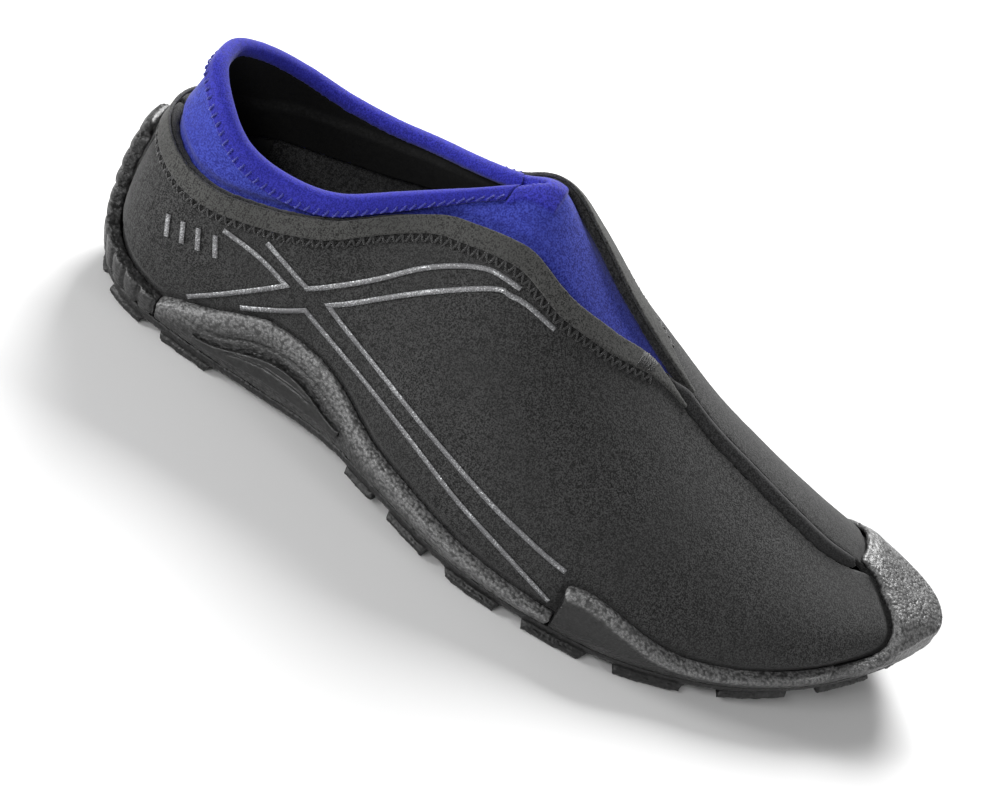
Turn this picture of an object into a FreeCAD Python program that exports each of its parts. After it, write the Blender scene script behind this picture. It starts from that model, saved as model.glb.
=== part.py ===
import FreeCAD, Part
import math
import os
from functools import lru_cache
from FreeCAD import Vector

# Right-foot slip-on neoprene water shoe.
# X runs from heel to toe, Y towards the inner (medial) side of the foot, Z up from the ground.
# The last is drawn as ribs that stand round the foot on numbered stations: 0 at the back of the heel,
# 1 to 18 along the outer (lateral) side, 19 at the toe tip, 20 to 37 back along the medial side.
# Each piece is a layer of the last between two distances from its skin.

# Overall sizes
SHOE_LENGTH = 285.0
SHOE_WIDTH = 103.0
SHOE_HEIGHT = 103.0

# Sole stack, from the ground up
LUG_DEPTH = 2.8
OUTSOLE_THICKNESS = 3.2
MIDSOLE_THICKNESS = 2.8
BOARD_THICKNESS = 1.5
FOOTBED_THICKNESS = 3.5
COVER_THICKNESS = 0.8
OUTSOLE_OVERHANG = 4.4
LUG_BITE = 1.0

# Upper layers
NEOPRENE = 3.0
COLLAR_KNIT = 2.2
LINING = 0.7
STIFFENER = 1.0
HEM_THICKNESS = 1.1
HEM_WIDTH = 6.5
BINDING_THICKNESS = 1.2
BINDING_LEG = 4.8
BINDING_INNER_LEG = 1.6
COLLAR_OVERLAP = 12.0
COLLAR_RISE = 3.0
GUSSET_TUCK = 0.5

# Rubber outside the upper
RAND_THICKNESS = 4.0
INSERT_THICKNESS = 1.0
STRIP_HALF_WIDTH = 0.45

# Welt along the top of the foot
WELT_HALF_WIDTH = 2.4
WELT_RISE = 2.2
WELT_DEPTH = 1.2
WELT_START = 12.1
WELT_END = 17.75
WELT_FADE = 15.5
WELT_SINK = 0.6

# Thread and print
THREAD_RADIUS = 0.35
ZIGZAG_PITCH = 2.7
ZIGZAG_HEIGHT = 2.2
STRIPE_WIDTH = 1.5
PRINT_THICKNESS = 0.2
PRINT_LIFT = 0.25

# Clearances
BOND = 0.15
EDGE_GAP = 0.4
SEAM = 0.01

# The last at its drawn size: station, foot of the rib (x, y), top of the rib (x, y, z)
DRAWN_LENGTH = 285.0
DRAWN_WIDTH = 103.0
DRAWN_HEIGHT = 103.0
LATERAL_RIBS = (
    (11, 0, 13.5, 0, 81.5),
    (14, -12, 15.5, -9, 80.5),
    (22.5, -20.5, 24, -17.5, 76),
    (36.5, -24.3, 36, -22.5, 70),
    (54, -26.5, 51, -23, 68),
    (72, -27.4, 66, -21.5, 71),
    (88, -29.8, 80, -16, 79),
    (102, -34.4, 93, -10, 87),
    (113, -39.5, 106, -4, 95),
    (125, -44, 118, 1, 100.8),
    (140, -48.5, 134, 1, 91),
    (157, -51.5, 152, 1.5, 78),
    (175, -52, 170, 2, 67.5),
    (195, -50, 190, 3, 56.5),
    (215, -43.5, 209, 4.5, 49.3),
    (236, -34, 226, 6, 43.2),
    (254, -21, 239, 8, 38.5),
    (269, -5, 247, 10.5, 36.5),
    (277, 7.5, 251, 12.5, 36),
    (280.5, 17.5, 253, 14, 36),
)
MEDIAL_RIBS = (
    (276, 28, 251, 12.5, 36),
    (266, 36, 247, 10.5, 36.5),
    (251.5, 40.5, 239, 8, 38.5),
    (233, 42.5, 226, 6, 43.2),
    (215, 43, 209, 4.5, 49.3),
    (197, 42, 190, 3, 56.5),
    (179, 39.5, 170, 2, 67.5),
    (162, 36, 152, 1.5, 78),
    (146, 32.5, 134, 1, 91),
    (131, 29, 118, 1, 100.8),
    (117, 26.5, 106, 6, 95),
    (103, 25, 93, 14, 87.5),
    (88, 24.5, 80, 20.5, 81.5),
    (72, 25.5, 66, 24.5, 76.5),
    (54, 26, 51, 26, 74.5),
    (36.5, 24.5, 36, 23.5, 76.5),
    (22.5, 19.5, 24, 17.5, 79.3),
    (14, 11.5, 15.5, 9, 81.3),
)
RIBS = LATERAL_RIBS + MEDIAL_RIBS
COUNT = len(RIBS)
TOE = len(LATERAL_RIBS) - 1
MOUTH_FRONT = 9
THROAT = 12

# How a rib bends, by station from heel to toe: outward bulge and upward pull at its foot, pull at its
# top, lean of its top from upright, and turn of its top towards the heel where the toe ribs fan out
BULGE = ((0, 9), (1, 8.5), (2, 6.5), (4, 3), (9, 3), (12, 5), (16, 5), (19, 4))
LIFT = ((0, 26), (2, 22), (4, 18), (9, 26), (19, 10))
PULL = ((0, 22), (4, 18), (9, 28), (19, 14))
LEAN = ((0, 8), (4, 12), (6, 27), (7, 40), (8, 56), (9, 74), (10, 86), (12, 90), (19, 90))
FAN = ((0, 0), (14, 0), (15, 5), (16, 15), (17, 35), (18, 62), (19, 90))
MEDIAL_FULLNESS = ((0, 1), (9, 1), (11, 1.15), (14, 1.25), (16, 1.25), (19, 1))
RIDGE_SLOPE = 0.2

# Height of the tread line over the ground, by drawn x: flat under the heel and under the ball
TREAD = (
    (-15, 8.5),
    (0, 4.2),
    (15, 1.0),
    (28, 0),
    (70, 0),
    (110, 3.2),
    (150, 0),
    (212, 0),
    (235, 2.8),
    (260, 7.6),
    (285, 15),
    (300, 20),
)
HEEL_FLAT = (28, 70)
BALL_FLAT = (150, 212)
TREAD_ENDS = (-15, 300)

# Distance of the topline below the top of the rib, by station from heel to toe
LATERAL_TOPLINE = ((0, 22.4), (1, 22.3), (2, 20.2), (3, 14), (4, 8.2), (5, 5.6), (6, 5.6), (7, 7.6),
                   (8, 14), (9, 20.4), (10, 18.4), (11, 10.5), (12, 2.8), (17.5, 2.8), (19, 5))
MEDIAL_TOPLINE = ((0, 22.4), (1, 22.3), (2, 20.2), (3, 14), (4, 9), (5, 6.4), (6, 6), (7, 6.4),
                  (8, 7.4), (9, 7), (10, 5.5), (11, 4.2), (12, 2.8), (17.5, 2.8), (19, 5))

# Top edge of the rubber over the feather line, by station
WAVE_TOP = ((2.9, 4.4), (3.2, 7.3), (3.8, 11.7), (4.3, 16.4), (4.9, 20), (5.4, 19.4), (6.1, 16.6),
            (6.7, 12.3), (7.3, 8), (8.1, 5.6), (10, 4.2), (12.3, 1.8))
TOE_RAND_TOP = ((12.3, 11.8), (12.5, 12.8), (12.8, 12), (13.6, 6.8), (14.2, 4), (15, 2.4), (16, 2.2), (17, 4.5),
                (17.3, 7), (17.8, 15), (18.3, 23), (19, 31), (20, 33.8), (20.6, 33.5), (21.3, 27), (22, 16),
                (22.6, 9), (23.2, 6), (24, 4.5), (24.6, 7), (25.1, 11), (25.5, 12.8), (25.7, 12))
HEEL_RAND_TOP = ((0, 10), (0.5, 10), (1.4, 8.1), (2.1, 6.2), (2.9, 4.4))
STRIP_DROP = 8.5
STRIP_CLIMB = 5.0
WAVE_START = 2.9
WAVE_FINISH = 12.25
RAND_JOINT = 0.02

CAP_HEIGHT = 18.0
CAP_THINNING = 0.45
LIP_ROUNDING = 0.5

# Tread blocks round the edge and chevrons down the middle
EDGE_LUGS = 26
EDGE_LUG_SHARE = 0.68
EDGE_LUG_DEPTH = 13.0
EDGE_LUG_TAPER = 0.8
EDGE_LUG_INSET = 1.6
ARCH_STATIONS = (4.6, 7.2)
CENTRE_LUG_START = 26.0
CENTRE_LUG_END = 34.0
CENTRE_LUG_PITCH = 17.0
CENTRE_LUG_LENGTH = 9.0
CENTRE_LUG_GAP = 5.0

# Footbed insets, and the stiffening sheets inside the shell
FOAM_INSET = 0.4
COVER_INSET = 1.5
COUNTER_REACH = 3.0
COUNTER_LOW = 7.5
COUNTER_DROP = 2.0
PUFF_LOW = 12.0
PUFF_SPAN = (16.6, 21.4)
PUFF_DROP = 8.0

# Lens-shaped insert on the wave: stations, middle line, half height and the share left at its tips
INSERT_SPAN = (3.7, 7.0)
INSERT_MIDDLE = ((3.7, 1.0), (5.2, 6.5), (7.0, 2.0))
INSERT_HALF_HEIGHT = 4.2
INSERT_TIP = 0.35

# How far short of the mouth's front corner, in stations, the tape, lining and stitches stop
BINDING_END = 0.9
LINING_END = 0.3
STITCH_END = 0.95
LINING_TUCK = 1.0

# Hem: where it narrows to its tip beside the welt, and the share of its width that it loses
HEM_TAPER = (11.5, 12.6)
HEM_TAPER_SHARE = 0.8

# Stitches: share of each zigzag run left bare at its ends, slant of the binding's stitches, bartack
STITCH_SETBACK = 0.14
STITCH_SLANT = 0.05
BARTACK_SPAN = (11.6, 11.85)
BARTACK_STITCHES = 7
BARTACK_MARGIN = 0.8
BARTACK_REACH = 0.7

# Printed lines as legs of (station, height) points, and the bars beside the heel
STRIPES = (
    (((3.4, 37.4), (4.1, 36.4), (4.8, 33.2)), ((4.8, 33.2), (4.1, 22.7), (3.3, 10.2))),
    (((4.2, 41.6), (5.2, 36.0)), ((5.2, 36.0), (6.6, 50.0), (8.0, 66.5), (8.7, 72.4), (9.3, 74.0))),
    (((4.2, 18.0), (5.3, 29.4)),
     ((5.3, 29.4), (6.6, 21.5), (8.3, 17.6), (9.8, 14.8), (11.1, 10.6), (12.1, 4.4))),
    (((12.1, 15.2), (11.4, 17.6), (10.8, 19.8), (9.6, 22.6), (8.0, 24.6), (6.4, 29.5), (5.7, 34.5)),
     ((5.7, 34.5), (7.2, 49.1), (8.9, 69.0), (9.3, 71.2), (9.7, 72.1), (10.15, 71.9))),
)
MARK_BARS = 4
MARK_START = (2.45, 24.0)
MARK_STEP = (0.34, 1.3)
MARK_SLANT = (-0.16, 6.5)

# Fineness of the surfaces
ROWS_PER_STATION = 4
STEP = 0.02
RIB_STEPS = 60
OUTLINE_POINTS = 76
FLARE = 12.0

# Heights and distances that follow from the sizes above
FEATHER = LUG_DEPTH + OUTSOLE_THICKNESS + MIDSOLE_THICKNESS + 2 * BOND
RAND_FOOT = -(MIDSOLE_THICKNESS + BOND)
RAND_INNER = BOND
RAND_OUTER = BOND + RAND_THICKNESS
BOARD_LOW = FEATHER + BOND
FOOTBED_LOW = BOARD_LOW + BOARD_THICKNESS + BOND
COVER_LOW = FOOTBED_LOW + FOOTBED_THICKNESS + BOND
RIM_INSET = BINDING_THICKNESS + 2 * BOND
BINDING_MIDDLE = -RIM_INSET - COLLAR_KNIT / 2
BINDING_RADIUS = COLLAR_KNIT / 2 + 2 * BOND + BINDING_THICKNESS / 2


def follow(table, x):
    """Smooth curve through the (x, value) pairs, level at both ends and with no overshoot."""
    last = len(table) - 1
    if x <= table[0][0]:
        return float(table[0][1])
    if x >= table[last][0]:
        return float(table[last][1])
    i = max(k for k in range(last) if table[k][0] <= x)

    def secant(k):
        return (table[k + 1][1] - table[k][1]) / (table[k + 1][0] - table[k][0])

    def slope(k):
        if k in (0, last) or secant(k - 1) * secant(k) <= 0:
            return 0.0
        return 2 * secant(k - 1) * secant(k) / (secant(k - 1) + secant(k))

    width = table[i + 1][0] - table[i][0]
    f = (x - table[i][0]) / width
    return ((2 * f**3 - 3 * f**2 + 1) * table[i][1] + (f**3 - 2 * f**2 + f) * width * slope(i)
            + (3 * f**2 - 2 * f**3) * table[i + 1][1] + (f**3 - f**2) * width * slope(i + 1))


def ease(f):
    """0 to 1 with level ends."""
    f = min(1.0, max(0.0, f))
    return f * f * (3 - 2 * f)


def spread(low, high, count):
    return [low + (high - low) * k / (count - 1) for k in range(count)]


# ---- The last ----

def tread_height(x):
    return follow(TREAD, x * DRAWN_LENGTH / SHOE_LENGTH)


def floor_height(x):
    """Height of the feather line, where the upper meets the sole."""
    return tread_height(x) + FEATHER


def rib_row(s):
    """The rib's five table values at any station, by a smooth curve round the closed table."""
    i = math.floor(s)
    f = s - i
    before, start, end, after = (RIBS[(i + k) % COUNT] for k in (-1, 0, 1, 2))
    row = []
    for a, b, c, d in zip(before, start, end, after):
        row.append((2 * f**3 - 3 * f**2 + 1) * b + (f**3 - 2 * f**2 + f) * (c - a) / 2
                   + (3 * f**2 - 2 * f**3) * c + (f**3 - f**2) * (d - b) / 2)
    return row


def unit(v):
    v = Vector(v)
    v.normalize()
    return v


def from_heel(s):
    """Station counted from the heel on either side."""
    s = s % COUNT
    return min(s, COUNT - s)


def is_medial(s):
    return s % COUNT > TOE


def rib_foot(s):
    row = rib_row(s)
    x = row[0] * SHOE_LENGTH / DRAWN_LENGTH
    return Vector(x, row[1] * SHOE_WIDTH / DRAWN_WIDTH, floor_height(x))


def rib_top(s):
    """Top of the rib. In front of the mouth both sides end on one ridge."""
    row = rib_row(s if from_heel(s) < MOUTH_FRONT else from_heel(s))
    return Vector(row[2] * SHOE_LENGTH / DRAWN_LENGTH, row[3] * SHOE_WIDTH / DRAWN_WIDTH,
                  row[4] * SHOE_HEIGHT / DRAWN_HEIGHT)


@lru_cache(maxsize=None)
def outward(s):
    """Level direction out of the foot at the feather line."""
    run = rib_foot(s + STEP) - rib_foot(s - STEP)
    return unit(Vector(run.y, -run.x, 0))


@lru_cache(maxsize=None)
def controls(s):
    """The four control points of the rib's cubic curve, from foot to top."""
    station = from_heel(s)
    side = 1 if is_medial(s) else -1
    foot = rib_foot(s)
    top = rib_top(s)
    size = SHOE_HEIGHT / DRAWN_HEIGHT
    lean = math.radians(follow(LEAN, station))
    fan = math.radians(follow(FAN, station))
    across = Vector(0, -side, -side * RIDGE_SLOPE) * math.cos(fan) + Vector(-1, 0, 0.35) * math.sin(fan)
    turned = ease((math.degrees(lean) - 35) / 50)
    level = unit(outward(s) * (turned - 1) + unit(across) * turned)
    arrival = unit(Vector(0, 0, 1) * math.cos(lean) + level * math.sin(lean))
    fullness = follow(MEDIAL_FULLNESS, station) if side > 0 else 1.0
    first = foot + outward(s) * follow(BULGE, station) + Vector(0, 0, follow(LIFT, station) * size)
    second = top - arrival * follow(PULL, station) * size * fullness
    return foot, first, second, top


def bezier(points, t):
    p, q, r, e = points
    return p * (1 - t) ** 3 + q * (3 * t * (1 - t) ** 2) + r * (3 * t * t * (1 - t)) + e * t**3


def bezier_direction(points, t):
    p, q, r, e = points
    return (q - p) * (3 * (1 - t) ** 2) + (r - q) * (6 * t * (1 - t)) + (e - r) * (3 * t * t)


@lru_cache(maxsize=None)
def rib_lengths(s):
    points = controls(s)
    lengths = [0.0]
    here = points[0]
    for k in range(1, RIB_STEPS + 1):
        there = bezier(points, k / RIB_STEPS)
        lengths.append(lengths[-1] + (there - here).Length)
        here = there
    return lengths


def rib_length(s):
    return rib_lengths(round(s, 4))[-1]


def ridge_normal(station):
    run = rib_top(station + STEP) - rib_top(station - STEP)
    return unit(run.cross(Vector(0, 1, RIDGE_SLOPE)))


def rib_normal(s, t):
    """Outward normal of the last. Along the ridge both sides share one normal."""
    ahead = bezier(controls(round(s + STEP, 4)), t)
    behind = bezier(controls(round(s - STEP, 4)), t)
    normal = unit((ahead - behind).cross(bezier_direction(controls(s), t)))
    station = from_heel(s)
    share = ease((station - MOUTH_FRONT + 0.5) / 0.5) * ease((t - 0.8) / 0.2)
    if share > 0 and station < TOE - 1:
        normal = unit(normal * (1 - share) + ridge_normal(station) * share)
    return normal




def skin(s, a, d):
    """The point a mm up the rib from the feather line and d mm outside the last.

    Below the feather line the surface drops straight down. Above the top of the rib it runs on straight.
    """
    s = round(s % COUNT, 4)
    foot = controls(s)[0]
    if a <= 0:
        p = foot + outward(s) * d
        return Vector(p.x, p.y, floor_height(p.x) + a)
    lengths = rib_lengths(s)
    if a >= lengths[-1]:
        return controls(s)[3] + unit(bezier_direction(controls(s), 1)) * (a - lengths[-1]) + rib_normal(s, 1) * d
    k = max(i for i in range(RIB_STEPS) if lengths[i] <= a)
    t = (k + (a - lengths[k]) / (lengths[k + 1] - lengths[k])) / RIB_STEPS
    near = ease(1 - a / FLARE)
    normal = unit(rib_normal(s, t) * (1 - near) + outward(s) * near)
    p = bezier(controls(s), t) + normal * d
    return Vector(p.x, p.y, p.z + (floor_height(p.x) - floor_height(p.x - normal.x * d)) * near)


# ---- Solids from grids of points ----


def spline(points):
    """Smooth curve through evenly timed points, or the straight line between two."""
    curve = Part.BSplineCurve()
    if len(points) == 2:
        curve.buildFromPolesMultsKnots(points, [2, 2], [0.0, 1.0], False, 1)
    else:
        curve.interpolate(Points=points, Parameters=[float(k) for k in range(len(points))])
    return curve


def surface(grid):
    """Face through a grid of points, smooth both ways, and straight across where a side has only two."""
    rows = [spline(row) for row in grid]
    columns = [spline(list(poles)) for poles in zip(*[row.getPoles() for row in rows])]
    poles = [list(p) for p in zip(*[column.getPoles() for column in columns])]
    result = Part.BSplineSurface()
    result.buildFromPolesMultsKnots(poles, columns[0].getMultiplicities(), rows[0].getMultiplicities(),
                                    columns[0].getKnots(), rows[0].getKnots(), False, False,
                                    columns[0].Degree, rows[0].Degree)
    return result.toShape()


def layer_faces(rows, columns, point, walls=("low", "high", "start", "end")):
    """Faces of the layer point(u, v, 0) to point(u, v, 1), with the walls asked for."""
    inner = [[point(u, v, 0) for v in columns] for u in rows]
    outer = [[point(u, v, 1) for v in columns] for u in rows]
    faces = [surface(inner), surface(outer)]
    edges = {
        "low": ([row[0] for row in inner], [row[0] for row in outer]),
        "high": ([row[-1] for row in inner], [row[-1] for row in outer]),
        "start": (inner[0], outer[0]),
        "end": (inner[-1], outer[-1]),
    }
    for wall in walls:
        faces.append(surface([list(pair) for pair in zip(*edges[wall])]))
    return faces


def closed_solid(faces):
    shell = Part.Compound(faces)
    shell.sewShape()
    solid = Part.Solid(shell.Shells[0])
    if solid.Volume < 0:
        solid.reverse()
    return solid


def rows_between(start, end):
    return spread(start, end, max(4, round((end - start) * ROWS_PER_STATION) + 1))


def layer(start, end, low, high, inner, outer, columns=12):
    """A layer between stations, up the ribs from low(s) to high(s), inner to outer off the last."""

    def point(s, v, w):
        a = low(s) + (high(s) - low(s)) * v
        return skin(s, a, outer(s, v) if w else inner(s, v))

    return closed_solid(layer_faces(rows_between(start, end), spread(0, 1, columns), point))


def level(value):
    return lambda *place: value


# ---- Sole plates ----



def outline(margin):
    """Level face inside the feather line's outline, grown outwards by a margin."""
    points = []
    for k in range(OUTLINE_POINTS):
        s = k * COUNT / OUTLINE_POINTS
        p = rib_foot(s) + outward(s) * margin
        points.append(Vector(p.x, p.y, 0))
    curve = Part.BSplineCurve()
    curve.interpolate(Points=points, PeriodicFlag=True)
    return Part.Face(Part.Wire(curve.toShape()))


def tread_edges(height):
    """Edges of the tread line raised by a height: splines, and straight where it is flat."""
    scale = SHOE_LENGTH / DRAWN_LENGTH
    stops = (TREAD_ENDS[0],) + HEEL_FLAT + BALL_FLAT + (TREAD_ENDS[1],)
    edges = []
    for start, end in zip(stops, stops[1:]):
        if (start, end) in (HEEL_FLAT, BALL_FLAT):
            edges.append(Part.makeLine(Vector(start * scale, 0, height), Vector(end * scale, 0, height)))
            continue
        xs = spread(start * scale, end * scale, 10)
        edges.append(spline([Vector(x, 0, tread_height(x) + height) for x in xs]).toShape())
    return edges


def slab(low, high):
    """The space between two heights over the tread line, wider than the shoe."""
    bottom = tread_edges(low)
    top = tread_edges(high)
    ends = [Part.makeLine(bottom[k].Vertexes[k].Point, top[k].Vertexes[k].Point) for k in (0, -1)]
    profile = Part.Face(Part.Wire(Part.__sortEdges__(bottom + top + ends)))
    profile.translate(Vector(0, -SHOE_WIDTH, 0))
    return profile.extrude(Vector(0, 2 * SHOE_WIDTH, 0))


def plate(margin, low, high):
    prism = outline(margin).extrude(Vector(0, 0, SHOE_HEIGHT))
    prism.translate(Vector(0, 0, -1))
    return prism.common(slab(low, high)).Solids[0]


def lug_prism(corners):
    points = [Vector(p.x, p.y, -1) for p in corners]
    return Part.Face(Part.makePolygon(points + points[:1])).extrude(Vector(0, 0, SHOE_HEIGHT))


def edge_point(s, margin):
    return rib_foot(s) + outward(s) * margin


def tread_lugs():
    """Blocks round the edge, and chevrons down the middle."""
    lugs = []
    outer = OUTSOLE_OVERHANG - EDGE_LUG_INSET
    for k in range(EDGE_LUGS):
        centre = (k + 0.5) * COUNT / EDGE_LUGS
        if ARCH_STATIONS[0] < from_heel(centre) < ARCH_STATIONS[1]:
            continue
        half = EDGE_LUG_SHARE * COUNT / EDGE_LUGS / 2
        corners = [edge_point(centre - half, outer),
                   edge_point(centre, outer),
                   edge_point(centre + half, outer),
                   edge_point(centre + half * EDGE_LUG_TAPER, outer - EDGE_LUG_DEPTH),
                   edge_point(centre - half * EDGE_LUG_TAPER, outer - EDGE_LUG_DEPTH)]
        lugs.append(lug_prism(corners))
    x = CENTRE_LUG_START
    while x < SHOE_LENGTH - CENTRE_LUG_END:
        lateral, medial = outline_span(x)
        low = lateral + EDGE_LUG_DEPTH + CENTRE_LUG_GAP
        high = medial - EDGE_LUG_DEPTH - CENTRE_LUG_GAP
        middle = (low + high) / 2
        sweep = CENTRE_LUG_LENGTH / 2
        corners = [Vector(x, low, 0), Vector(x + sweep, middle, 0), Vector(x, high, 0),
                   Vector(x + CENTRE_LUG_LENGTH, high, 0), Vector(x + CENTRE_LUG_LENGTH + sweep, middle, 0),
                   Vector(x + CENTRE_LUG_LENGTH, low, 0)]
        lugs.append(lug_prism(corners))
        x += CENTRE_LUG_PITCH
    return lugs


def outline_span(x):
    """The feather line's lateral and medial y at an x."""
    sides = []
    for start, end in ((0, TOE), (TOE, COUNT)):
        feet = [rib_foot(s) for s in spread(start, end, 96)]
        near = min(feet, key=lambda p: abs(p.x - x))
        sides.append(near.y)
    return sides


def make_outsole():
    base = plate(OUTSOLE_OVERHANG, LUG_DEPTH, LUG_DEPTH + OUTSOLE_THICKNESS)
    room = slab(0, LUG_DEPTH + LUG_BITE)
    blocks = [lug.common(room) for lug in tread_lugs()]
    return base.fuse(blocks).removeSplitter()


def make_midsole():
    low = LUG_DEPTH + OUTSOLE_THICKNESS + BOND
    return plate(-BOND, low, low + MIDSOLE_THICKNESS)


def inner_plate(low, thickness, inset=0.0):
    """Plate inside the upper, inset further where the upper leans in over it."""
    return plate(-NEOPRENE - EDGE_GAP - inset, low, low + thickness)


def topline(s):
    """Top edge of the neoprene shell."""
    table = MEDIAL_TOPLINE if is_medial(s) else LATERAL_TOPLINE
    return rib_length(s % COUNT) - follow(table, from_heel(s))


def hem_low(s):
    """Lower edge of the hem, which narrows to its tip beside the welt."""
    taper = ease((from_heel(s) - HEM_TAPER[0]) / (HEM_TAPER[1] - HEM_TAPER[0]))
    return topline(s) - HEM_WIDTH * (1 - HEM_TAPER_SHARE * taper)


def hem_foot(s):
    """Lowest line of the hem and its zigzag seam."""
    return hem_low(s) - ZIGZAG_HEIGHT - 2 * EDGE_GAP


# ---- Rubber round the edge ----


def rand_layer(start, end, top):
    """Rubber edge that stands on the outsole, thinner up the toe and with a rounded top lip."""

    def outer(s, v):
        a = RAND_FOOT + (top(s) - RAND_FOOT) * v
        thinning = 1 - CAP_THINNING * ease(a / CAP_HEIGHT)
        return RAND_INNER + RAND_THICKNESS * thinning * (1 - LIP_ROUNDING * ease((v - 0.82) / 0.18))

    return layer(start, end, level(RAND_FOOT), top, level(RAND_INNER), outer, 14)


def make_toe_rand():
    start = WAVE_FINISH + RAND_JOINT
    return rand_layer(start, COUNT - start, lambda s: follow(TOE_RAND_TOP, s))


def make_wave(medial):
    start, end = WAVE_START + RAND_JOINT, WAVE_FINISH - RAND_JOINT
    if medial:
        start, end = COUNT - end, COUNT - start
    return rand_layer(start, end, lambda s: follow(WAVE_TOP, from_heel(s)))


def make_heel_bumper():
    """Band round the foot of the heel with a strip up its middle."""

    def band(s, v, w):
        a = RAND_FOOT + (follow(HEEL_RAND_TOP, from_heel(s)) - RAND_FOOT) * v
        return skin(s, a, RAND_OUTER if w else RAND_INNER)

    def strip(s, v, w):
        low = follow(HEEL_RAND_TOP, from_heel(s))
        a = low + (topline(s) - STRIP_DROP - low) * v
        over_hem = (HEM_THICKNESS + 2 * BOND) * ease((a - hem_foot(s)) / STRIP_CLIMB + 1)
        return skin(s, a, RAND_OUTER if w else RAND_INNER + over_hem)

    side = spread(STRIP_HALF_WIDTH, WAVE_START - RAND_JOINT, 13)
    middle = spread(-STRIP_HALF_WIDTH, STRIP_HALF_WIDTH, 7)
    columns = spread(0, 1, 6)
    faces = layer_faces(side, columns, band, ("low", "high", "end"))
    faces += layer_faces([-s for s in reversed(side)], columns, band, ("low", "high", "start"))
    faces += layer_faces(middle, columns, band, ("low",))
    faces += layer_faces(middle, spread(0, 1, 14), strip, ("high", "start", "end"))
    return closed_solid(faces)


def make_insert(medial):
    """Lens-shaped insert on the face of the wave."""

    def half(s):
        f = (from_heel(s) - INSERT_SPAN[0]) / (INSERT_SPAN[1] - INSERT_SPAN[0])
        return INSERT_HALF_HEIGHT * max(INSERT_TIP, math.sin(math.pi * min(1, max(0, f))))

    start, end = INSERT_SPAN
    if medial:
        start, end = COUNT - end, COUNT - start
    base = RAND_OUTER + BOND
    return layer(start, end, lambda s: follow(INSERT_MIDDLE, from_heel(s)) - half(s),
                 lambda s: follow(INSERT_MIDDLE, from_heel(s)) + half(s), level(base),
                 level(base + INSERT_THICKNESS), 6)


# ---- Upper ----


def make_upper(start, end):
    return layer(start + SEAM, end - SEAM, level(BOND), topline, level(-NEOPRENE), level(0.0), 16)


def collar_outer(s, a):
    """Distance of the collar's outer face from the last: under the shell, then out to the rim."""
    fade = follow(((MOUTH_FRONT, 1), (THROAT - 1, 0)), from_heel(s))
    under = NEOPRENE + BOND
    return -under + (under - RIM_INSET) * fade * ease((a - topline(s) - EDGE_GAP) / COLLAR_RISE)


def collar_point(s, v, w):
    low = topline(s) - COLLAR_OVERLAP
    high = rib_length(s % COUNT)
    a = low + (high - low) * v
    return skin(s, a, collar_outer(s, a) - (0 if w else COLLAR_KNIT))


def make_collar():
    """Knit collar round the heel and ankle, with its gusset across the throat."""
    tip = THROAT + GUSSET_TUCK
    columns = spread(0, 1, 16)
    ring = rows_between(MOUTH_FRONT + TOE + 1, COUNT + MOUTH_FRONT)
    lateral = rows_between(MOUTH_FRONT, tip)
    medial = [COUNT - s for s in reversed(lateral)]
    faces = layer_faces(ring, columns, collar_point, ("low", "high"))
    faces += layer_faces(lateral, columns, collar_point, ("low", "end"))
    faces += layer_faces(medial, columns, collar_point, ("low", "start"))
    return closed_solid(faces)


def binding_path(v):
    """Middle of the binding's section, from its outer edge over the rim: rise, distance, direction out."""
    turn = math.pi * BINDING_RADIUS
    run = v * (BINDING_LEG + turn + BINDING_INNER_LEG)
    if run < BINDING_LEG:
        return run - BINDING_LEG, BINDING_MIDDLE + BINDING_RADIUS, 0.0, 1.0
    if run > BINDING_LEG + turn:
        return BINDING_LEG + turn - run, BINDING_MIDDLE - BINDING_RADIUS, 0.0, -1.0
    angle = (run - BINDING_LEG) / BINDING_RADIUS
    return (BINDING_RADIUS * math.sin(angle), BINDING_MIDDLE + BINDING_RADIUS * math.cos(angle),
            math.sin(angle), math.cos(angle))


def make_binding():
    """Knit tape folded over the rim."""

    def point(s, v, w):
        rise, distance, up, out = binding_path(v)
        half = BINDING_THICKNESS / 2 * (1 if w else -1)
        return skin(s, rib_length(s % COUNT) + rise + up * half, distance + out * half)

    rows = rows_between(COUNT - MOUTH_FRONT + BINDING_END, COUNT + MOUTH_FRONT - BINDING_END)
    return closed_solid(layer_faces(rows, spread(0, 1, 22), point))


def make_collar_lining():
    def low(s):
        return topline(s) - COLLAR_OVERLAP + LINING_TUCK

    def high(s):
        return rib_length(s % COUNT) - BINDING_INNER_LEG - EDGE_GAP

    def outer(s, v):
        a = low(s) + (high(s) - low(s)) * v
        return collar_outer(s, a) - COLLAR_KNIT - EDGE_GAP

    start = COUNT - MOUTH_FRONT + LINING_END
    end = COUNT + MOUTH_FRONT - LINING_END
    return layer(start, end, low, high, lambda s, v: outer(s, v) - LINING, outer, 15)


def make_heel_counter():
    face = -NEOPRENE - BOND
    return layer(-COUNTER_REACH, COUNTER_REACH, level(COUNTER_LOW),
                 lambda s: topline(s) - COLLAR_OVERLAP - COUNTER_DROP, level(face - STIFFENER), level(face), 8)


def make_toe_puff():
    face = -NEOPRENE - BOND
    return layer(PUFF_SPAN[0], PUFF_SPAN[1], level(PUFF_LOW), lambda s: rib_length(s) - PUFF_DROP,
                 level(face - STIFFENER), level(face), 10)


def make_hem():
    """Tape along the topline, from the throat round the heel and back."""

    return layer(COUNT - HEM_TAPER[1], COUNT + HEM_TAPER[1], hem_low, topline, level(BOND),
                 level(BOND + HEM_THICKNESS), 6)


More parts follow.
